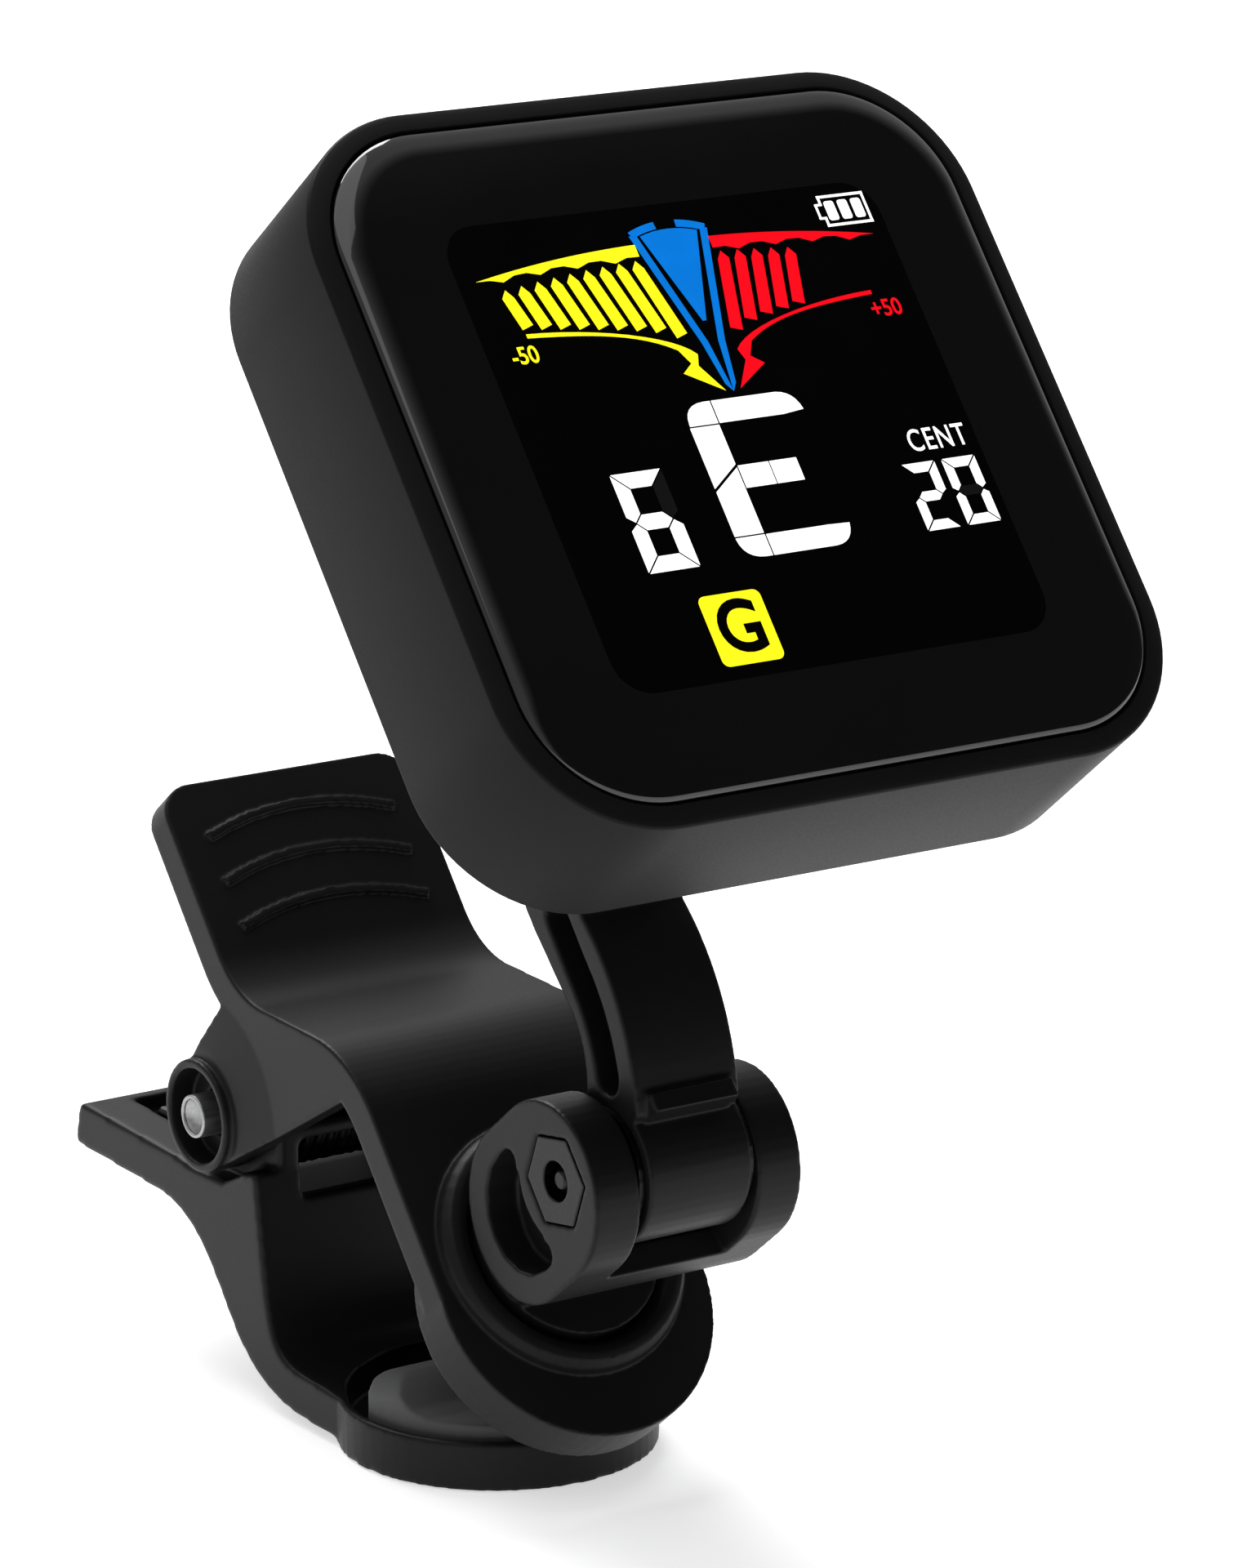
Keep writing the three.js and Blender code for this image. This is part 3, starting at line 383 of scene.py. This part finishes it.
def housing():
    """The head's shell: a falling front band with a crisp edge, and a slot for the button in its top."""
    profile = [(SEAM_INSET, -1.7), (SEAM_INSET, -0.12), (SEAM_INSET - 0.1, 0.0)]
    profile += [(0.8, -0.05), (0.45, -0.17)]
    profile += quarter(EDGE_ROUND, -0.5, EDGE_ROUND, 58, 0, 5)
    profile += quarter(BACK_ROUND, -HEAD_DEPTH + BACK_ROUND, BACK_ROUND, 0, -90, 4)
    profile += [(1.55, -HEAD_DEPTH), (1.6, -HEAD_DEPTH + 0.05), (1.6, -2.6), (3.5, -2.6), (3.5, -1.7)]
    mesh = swept(profile, HEAD_HALF_X, HEAD_HALF_Y, HEAD_CORNER, True)
    mesh.transform(HEAD)
    obj = add_object("housing_shell", mesh, HEAD_SHELL, "head", 40)
    cutter_mesh = bpy.data.meshes.new("slot_cutter")
    work = bmesh.new()
    bmesh.ops.create_cube(work, size=1.0)
    work.to_mesh(cutter_mesh)
    work.free()
    button = extent("power_button", OUT)
    middle = (sum(button) / 2 - housing_out[1]) / MM + 0.3
    cutter_mesh.transform(
        HEAD @ Matrix.Translation((0, HEAD_HALF_Y, middle)) @ Matrix.Diagonal((*BUTTON_SLOT, 1))
    )
    cutter = bpy.data.objects.new("slot_cutter", cutter_mesh)
    bpy.context.scene.collection.objects.link(cutter)
    cut = obj.modifiers.new("button_slot", "BOOLEAN")
    cut.object = cutter
    cut.solver = "EXACT"
    shape = evaluated(obj)
    obj.modifiers.clear()
    obj.data = shape
    shape.set_sharp_from_angle(angle=math.radians(40))
    bpy.data.objects.remove(cutter)
    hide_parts("front_housing")
    return obj


def window():
    """The glossy window with its rolled edge."""
    gap = SEAM_INSET + SEAM_WIDTH
    inner = gap + LENS_ROLL
    profile = [(gap + 0.05, -1.3), (gap, -1.25), (gap, -0.2)]
    for step in range(1, 13):
        angle = math.radians(90 * step / 12)
        rise = (LENS_FACE + 0.2) * math.sin(angle)
        profile.append((inner - LENS_ROLL * math.cos(angle), -0.2 + rise))
    mesh = swept(profile, HEAD_HALF_X, HEAD_HALF_Y, HEAD_CORNER, False)
    mesh.transform(HEAD)
    obj = add_object("lens_window", mesh, GLOSS, "head", 30)
    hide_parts("front_lens")
    return obj


# ---- Display symbols, drawn in millimetres on the window, x right and y up ----

def arc(cx, cy, radius, start, end, count=10):
    """Points of an arc between two angles in degrees."""
    return [
        (cx + radius * math.cos(math.radians(start + (end - start) * step / count)),
         cy + radius * math.sin(math.radians(start + (end - start) * step / count)))
        for step in range(count + 1)
    ]


def curve(points, count=12):
    """A smooth line through a quadratic or cubic set of control points."""
    result = []
    degree = len(points) - 1
    for step in range(count + 1):
        t = step / count
        weights = [math.comb(degree, k) * (1 - t) ** (degree - k) * t ** k for k in range(degree + 1)]
        result.append(tuple(sum(w * p[axis] for w, p in zip(weights, points)) for axis in (0, 1)))
    return result


def inlay(name, outlines, material, lift, thick=0.02):
    """Flat symbols as one thin piece on the window's face."""
    work = bmesh.new()
    for outline in outlines:
        base = LENS_FACE + lift
        lower = [work.verts.new((x, y, base)) for x, y in outline]
        upper = [work.verts.new((x, y, base + thick)) for x, y in outline]
        work.faces.new(upper)
        work.faces.new(lower[::-1])
        for index in range(len(outline)):
            following = (index + 1) % len(outline)
            work.faces.new((lower[index], lower[following], upper[following], upper[index]))
    bmesh.ops.recalc_face_normals(work, faces=work.faces)
    bmesh.ops.triangulate(work, faces=work.faces, ngon_method="EAR_CLIP")
    mesh = bpy.data.meshes.new(name)
    work.to_mesh(mesh)
    work.free()
    mesh.transform(HEAD)
    obj = add_object(name, mesh, material, "head")
    mesh.shade_flat()
    return obj


def lettering(name, text, size, x, y, material, lift, bold=0.0, narrow=1.0, apart=1.0):
    """A word or a number in plain letters, centred at x, y."""
    font = bpy.data.curves.new(name + "_text", "FONT")
    font.body = text
    font.size = size
    font.align_x = "CENTER"
    font.align_y = "CENTER"
    font.offset = bold
    font.space_character = apart
    font.extrude = 0.01
    font.resolution_u = 6
    draft = bpy.data.objects.new(name + "_draft", font)
    bpy.context.scene.collection.objects.link(draft)
    mesh = evaluated(draft)
    bpy.data.objects.remove(draft)
    mesh.transform(Matrix.Translation((x, y, LENS_FACE + lift + 0.01)) @ Matrix.Diagonal((narrow, 1, 1, 1)))
    mesh.transform(HEAD)
    obj = add_object(name, mesh, material, "head")
    mesh.shade_flat()
    return obj


def segment_digit(x, y, width, height, stroke, lit, slant=0.0):
    """The lit bars of a seven-segment digit whose lower left corner is at x, y."""
    gap = 0.07
    half = stroke / 2
    mid = height / 2
    bevel = stroke * 0.45
    bars = {
        "a": [(gap, height), (width - gap, height), (width - stroke - gap, height - stroke),
              (stroke + gap, height - stroke)],
        "d": [(gap, 0), (stroke + gap, stroke), (width - stroke - gap, stroke), (width - gap, 0)],
        "f": [(0, height - gap), (stroke, height - stroke - gap), (stroke, mid + half + gap),
              (stroke / 2, mid + gap), (0, mid + bevel)],
        "e": [(0, gap), (0, mid - bevel), (stroke / 2, mid - gap), (stroke, mid - half - gap),
              (stroke, stroke + gap)],
        "g": [(stroke / 2 + gap, mid), (stroke + gap, mid + half), (width - stroke - gap, mid + half),
              (width - stroke / 2 - gap, mid), (width - stroke - gap, mid - half),
              (stroke + gap, mid - half)],
    }
    bars["b"] = [(width - px, py) for px, py in bars["f"]]
    bars["c"] = [(width - px, py) for px, py in bars["e"]]
    return [[(x + px + slant * py, y + py) for px, py in bars[key]] for key in lit]


def leaning_bar(top, bottom, width, point):
    """A bar with a pointed top and a slanting foot, leaning from its top to its bottom."""
    (tx, ty), (bx, by) = top, bottom
    half = width / 2
    return [(bx - half, by + 0.12), (tx - half, ty - point), (tx, ty), (tx + half, ty - point),
            (bx + half, by - 0.12)]


def needle_scale(side):
    """One side of the tuning scale: a band above, pointed bars, and a swoosh below. side is -1 or 1."""
    flat = side < 0
    count = 9 if flat else 5
    top_line = curve([(2.5, 12.05), (8.0, 11.95), (13.5, 10.95)])
    under_line = curve([(12.6, 10.95), (7.6, 11.45), (2.5, 11.3)])
    notched = []
    for index, (x, y) in enumerate(under_line):
        notched.append((x, y - (0.28 if index % 3 == 1 else 0.0)))
    band = top_line + notched
    bars = []
    first, last = (2.9, 1.85), (11.9, 11.4)
    for index in range(count):
        share = index / 8
        tx = first[0] + (last[0] - first[0]) * share
        bx = first[1] + (last[1] - first[1]) * share
        ty = 11.05 - 0.8 * share ** 1.5
        by = 6.15 + 1.7 * share ** 0.6
        bars.append(leaning_bar((tx, ty), (bx, by), 0.76, 0.5))
    outer = curve([(11.7, 7.45), (7.2, 7.3), (2.4, 6.2), (1.35, 4.9)])
    hook = [(1.6, 4.2), (0.5, 2.5), (2.75, 3.85), (2.0, 4.4)]
    inner = curve([(2.5, 5.3), (4.6, 6.6), (7.4, 6.95), (11.7, 7.2)])
    swoosh = outer + hook + inner
    return [[(side * x, y) for x, y in outline] for outline in [band, swoosh, *bars]]


def in_tune_wedge():
    """The middle sign: a filled wedge inside two converging strokes."""
    wedge = arc(0, 6.2, 6.6, 107, 73, 8) + [(0.12, 6.9), (-0.12, 6.9)]
    strokes = []
    for side in (-1, 1):
        stroke = [(2.65, 12.6), (2.15, 12.55), (0.35, 5.6), (0.0, 2.4), (0.35, 2.9), (0.8, 5.6)]
        cap = arc(0, 6.4, 6.95, 68, 84, 6) + arc(0, 6.4, 6.5, 84, 68, 6)
        strokes.append([(side * x, y) for x, y in stroke])
        strokes.append([(side * x, y) for x, y in cap])
    return [wedge, *strokes]


def big_letter():
    """The large note letter, in joined segments with thin breaks between them."""
    gap = 0.05
    top = curve([(-3.75, 0.7), (-3.7, 1.95), (-2.3, 2.0)], 6) + [(-1.85, 2.0), (-1.85, 0.6)]
    top += [(-3.75, 0.6)]
    top_right = [(-1.8 + gap, 2.0), (2.6, 2.0)] + curve([(2.6, 2.0), (3.8, 1.9), (4.0, 0.75)], 6)
    top_right += [(2.6, 0.6), (-1.8 + gap, 0.6)]
    upper_left = [(-3.8, 0.5), (-1.85, 0.5), (-1.85, -2.0), (-3.8, -3.3)]
    lower_left = [(-3.8, -3.5), (-1.85, -2.2), (-1.85, -6.3), (-3.8, -6.3)]
    middle = [(-1.75, -2.1), (0.3, -2.1), (0.3, -3.5), (-1.75, -3.5)]
    middle_right = [(0.38, -2.1), (2.2, -2.1), (2.2, -3.5), (0.38, -3.5)]
    foot = [(-1.85, -6.4), (-1.85, -7.7)] + curve([(-2.3, -7.7), (-3.7, -7.65), (-3.8, -6.4)], 6)
    foot_right = [(-1.75, -6.4), (-1.75, -7.7), (2.5, -7.7)]
    foot_right += curve([(2.5, -7.7), (3.7, -7.65), (3.9, -6.45)], 6) + [(2.5, -6.4)]
    return [top, top_right, upper_left, lower_left, middle, middle_right, foot, foot_right]


def battery_sign():
    """The battery sign: an outline with a nub on its left and three filled cells."""
    left, right, low, high, wall = 10.7, 13.9, 11.7, 13.7, 0.16
    frame_bars = [
        [(left, low), (right, low), (right, low + wall), (left, low + wall)],
        [(left, high - wall), (right, high - wall), (right, high), (left, high)],
        [(right - wall, low), (right, low), (right, high), (right - wall, high)],
        [(left, low), (left + wall, low), (left + wall, 12.3), (left, 12.3)],
        [(left, 13.1), (left + wall, 13.1), (left + wall, high), (left, high)],
        [(left - 0.35, 12.25), (left - 0.2, 12.25), (left - 0.2, 13.15), (left - 0.35, 13.15)],
        [(left - 0.35, 12.2), (left + wall, 12.2), (left + wall, 12.34), (left - 0.35, 12.34)],
        [(left - 0.35, 13.06), (left + wall, 13.06), (left + wall, 13.2), (left - 0.35, 13.2)],
    ]
    cells = []
    for index in range(3):
        x = left + 0.65 + index * 0.93
        loop = rounded_loop(0.34, 0.62, 0.16, 4)
        cells.append([(x + px, 12.7 + py) for px, py in loop])
    return frame_bars + cells


def display():
    """The dark display field and every sign on it."""
    window_low = (-14.7, -14.6)
    window_high = (14.6, 14.4)
    centre = [(low + high) / 2 for low, high in zip(window_low, window_high)]
    half = [(high - low) / 2 for low, high in zip(window_low, window_high)]
    screen = [(centre[0] + x, centre[1] + y) for x, y in rounded_loop(half[0], half[1], 2.2, 8)]
    inlay("display_field", [screen], GLASS, 0.0, 0.01)
    badge = [(-5.75 + x, -11.65 + y) for x, y in rounded_loop(2.05, 2.15, 0.45, 6)]
    inlay("display_yellow", [*needle_scale(-1), badge], YELLOW, 0.01)
    inlay("display_red", needle_scale(1), RED, 0.01)
    inlay("display_blue", in_tune_wedge(), BLUE, 0.01)
    digits = segment_digit(-10.1, -7.7, 3.4, 6.1, 0.95, "acdefg")
    digits += segment_digit(8.8, -7.7, 2.3, 4.2, 0.6, "abged")
    digits += segment_digit(11.6, -7.7, 2.3, 4.2, 0.6, "abcdef")
    inlay("display_white", [*big_letter(), *battery_sign(), *digits], WHITE, 0.01)
    unlit = segment_digit(-10.1, -7.7, 3.4, 6.1, 0.95, "b")
    unlit += segment_digit(11.6, -7.7, 2.3, 4.2, 0.6, "g")
    inlay("display_unlit", unlit, DIM, 0.01)
    lettering("display_minus", "-50", 1.5, -12.3, 6.15, YELLOW, 0.01, 0.02, 0.9)
    lettering("display_plus", "+50", 1.5, 12.25, 6.2, RED, 0.01, 0.02, 0.9)
    lettering("display_cent", "CENT", 1.95, 11.95, -2.2, WHITE, 0.01, 0.012, 0.76, 1.12)
    lettering("display_badge", "G", 4.4, -5.75, -11.7, GLASS, 0.03, 0.1, 0.95)


# ---- Pin and spring ----

def pin_plugs():
    """The dished bottoms of the pin's drilled ends."""
    pin_low, pin_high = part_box("pivot_pin")
    middle = (pin_low + pin_high) / 2
    bore = 1.08 * MM
    profile = [(0.1, -0.08), (0.4, -0.04), (0.7, 0.06), (0.9, 0.2), (1.0, 0.32), (1.0, -0.5)]
    for side, name in ((-1, "pin_end_left"), (1, "pin_end_right")):
        work = bmesh.new()
        rings = []
        face = pin_low.x if side < 0 else pin_high.x
        for share, depth in profile:
            ring = []
            for step in range(32):
                angle = math.tau * step / 32
                place = (face - side * (0.5 - depth) * MM, middle.y + bore * share * math.cos(angle),
                         middle.z + bore * share * math.sin(angle))
                ring.append(work.verts.new(place))
            rings.append(ring)
        for inner, outer in zip(rings, rings[1:]):
            for index in range(32):
                following = (index + 1) % 32
                work.faces.new((inner[index], inner[following], outer[following], outer[index]))
        work.faces.new(rings[0])
        work.faces.new(rings[-1])
        add_object(name, finished(work, name), PIN_STEEL, "lower_clip", 50)


def spring():
    """The wound spring on the pin, with a leg under each handle."""
    pivot = Vector(JOINTS["jaw_open"]["pos_m"])
    wire = 0.85 * MM
    radius = 3.68 * MM
    reach = 5.05 * MM
    turns = 11
    lean = math.atan2(OUT.z, -OUT.y)
    line = []
    steps = 24 * turns
    tilt = math.radians(4.5)
    start = -math.pi / 2
    end = start - math.tau * turns - math.pi / 2 - lean + tilt
    for step in range(steps + 1):
        share = step / steps
        angle = start + (end - start) * share
        x = -reach + 2 * reach * share
        line.append((x, pivot.y + radius * math.cos(angle), pivot.z + radius * math.sin(angle)))
    low_leg = Vector((line[0][0], pivot.y + 12 * MM, pivot.z - radius))
    high_leg = Vector(line[-1]) + (UP * math.cos(tilt) + OUT * math.sin(tilt)) * 14 * MM
    path = [tuple(low_leg)] + line + [tuple(high_leg)]
    data = bpy.data.curves.new("spring_wire", "CURVE")
    data.dimensions = "3D"
    data.bevel_depth = wire / 2
    data.bevel_resolution = 3
    data.use_fill_caps = True
    spline = data.splines.new("POLY")
    spline.points.add(len(path) - 1)
    for point, place in zip(spline.points, path):
        point.co = (*place, 1)
    draft = bpy.data.objects.new("spring_draft", data)
    bpy.context.scene.collection.objects.link(draft)
    mesh = evaluated(draft)
    bpy.data.objects.remove(draft)
    obj = bpy.data.objects.new("wound_spring", mesh)
    bpy.context.scene.collection.objects.link(obj)
    paint(obj, BLACK_STEEL)
    mesh.shade_smooth()
    mesh.set_sharp_from_angle(angle=math.radians(40))
    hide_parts("torsion_spring")
    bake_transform(obj)
    return obj


# ---- Studio ----

def area_light(name, place, target, size, power):
    """A square soft light at a place, turned to a target."""
    data = bpy.data.lights.new(name, "AREA")
    data.energy = power
    data.size = size
    light = bpy.data.objects.new(name, data)
    light.location = place
    light.rotation_euler = (Vector(target) - Vector(place)).to_track_quat("-Z", "Y").to_euler()
    bpy.context.scene.collection.objects.link(light)
    return light


def studio():
    """A pale floor, a sky that is light behind and to the left, and two soft lights."""
    floor_mesh = bpy.data.meshes.new("floor")
    work = bmesh.new()
    bmesh.ops.create_grid(work, x_segments=2, y_segments=2, size=3.0)
    work.to_mesh(floor_mesh)
    work.free()
    floor = bpy.data.objects.new("floor", floor_mesh)
    floor.location.z = cad_low.z - 0.0001
    bpy.context.scene.collection.objects.link(floor)
    material, nodes, links, shader = new_material("floor_paper")
    coordinates = nodes.new("ShaderNodeTexCoord")
    fibres = noise(nodes, links, coordinates, 40.0, 4.0)
    links.new(ramp(nodes, links, fibres.outputs["Fac"], (0.88, 0.88, 0.88), (0.92, 0.92, 0.92)),
              shader.inputs["Base Color"])
    shader.inputs["Roughness"].default_value = 0.9
    shader.inputs["Specular IOR Level"].default_value = 0.0
    shader.inputs["Emission Color"].default_value = (1.0, 1.0, 1.0, 1.0)
    shader.inputs["Emission Strength"].default_value = 0.58
    paint(floor, material)
    world = bpy.data.worlds.new("studio")
    bpy.context.scene.world = world
    world.use_nodes = True
    nodes = world.node_tree.nodes
    links = world.node_tree.links
    coordinates = nodes.new("ShaderNodeTexCoord")
    facing = nodes.new("ShaderNodeVectorMath")
    facing.operation = "DOT_PRODUCT"
    facing.inputs[1].default_value = Vector((-0.45, 0.85, 0.1)).normalized()
    links.new(coordinates.outputs["Generated"], facing.inputs[0])
    shifted = nodes.new("ShaderNodeMath")
    shifted.operation = "ADD"
    shifted.inputs[1].default_value = 0.5
    links.new(facing.outputs["Value"], shifted.inputs[0])
    sky = ramp(nodes, links, shifted.outputs["Value"], (0.03, 0.03, 0.03), (0.45, 0.45, 0.45), 0.03, 0.25)
    links.new(sky, nodes["Background"].inputs["Color"])
    nodes["Background"].inputs["Strength"].default_value = 1.0
    middle = (0, -0.005, 0.035)
    area_light("overhead", (-0.15, -0.02, 0.85), middle, 0.8, 1.7)
    area_light("back", (0.1, 0.5, 0.6), middle, 0.45, 4.4)
    bpy.context.scene.view_settings.view_transform = "Standard"


def camera():
    """A long lens from the front left, a little above the head."""
    data = bpy.data.cameras.new("camera")
    data.lens = 159.43
    data.sensor_width = 36
    data.clip_start = 0.01
    data.clip_end = 10
    obj = bpy.data.objects.new("camera", data)
    obj.location = (-0.2197, -0.3299, 0.1433)
    obj.rotation_euler = (math.radians(75.48), 0, math.radians(-34.72))
    bpy.context.scene.collection.objects.link(obj)
    bpy.context.scene.camera = obj


housing()
window()
display()
# CAD node, new piece, material, slot, size of the skin's cells in millimetres, rounds of smoothing.
MOULDINGS = [
    ("upper_jaw", "upper_jaw_moulding", SHELL, "shell", 0.11, 6),
    ("lower_jaw", "lower_jaw_moulding", SHELL, "shell", 0.18, 6),
    ("swivel_yoke", "yoke_moulding", SHELL, "shell", 0.14, 5),
    ("neck_arm", "arm_moulding", SHELL, "shell", 0.14, 6),
    ("lower_pad", "lower_pad_rubber", PAD, "pad", 0.15, 6),
    ("hex_nut", "nut_smooth", BLACK_STEEL, "black_steel", 0.06, 3),
    ("pivot_pin", "pin_smooth", PIN_STEEL, "black_steel", 0.08, 2),
    ("upper_pad", "upper_pad_rubber", PAD, "pad", 0.18, 4),
    ("power_button", "button_key", KEY, "rubber", 0.1, 5),
    ("rear_cover", "rear_cover_moulding", HEAD_SHELL, "shell", 0.2, 3),
    ("battery_door", "battery_door_moulding", HEAD_SHELL, "shell", 0.14, 3),
    ("hinge_bolt", "bolt_smooth", BLACK_STEEL, "black_steel", 0.08, 3),
    ("swivel_screw", "swivel_screw_smooth", STEEL, "steel", 0.08, 2),
    ("cover_screw_1", "cover_screw_smooth_1", BLACK_STEEL, "black_steel", 0.06, 2),
    ("cover_screw_2", "cover_screw_smooth_2", BLACK_STEEL, "black_steel", 0.06, 2),
    ("cover_screw_3", "cover_screw_smooth_3", BLACK_STEEL, "black_steel", 0.06, 2),
    ("cover_screw_4", "cover_screw_smooth_4", BLACK_STEEL, "black_steel", 0.06, 2),
    ("neck_screw_left", "neck_screw_smooth_left", STEEL, "steel", 0.06, 2),
    ("neck_screw_right", "neck_screw_smooth_right", STEEL, "steel", 0.06, 2),
]
for moulding in MOULDINGS:
    remeshed(*moulding)
pin_plugs()
spring()
studio()
camera()
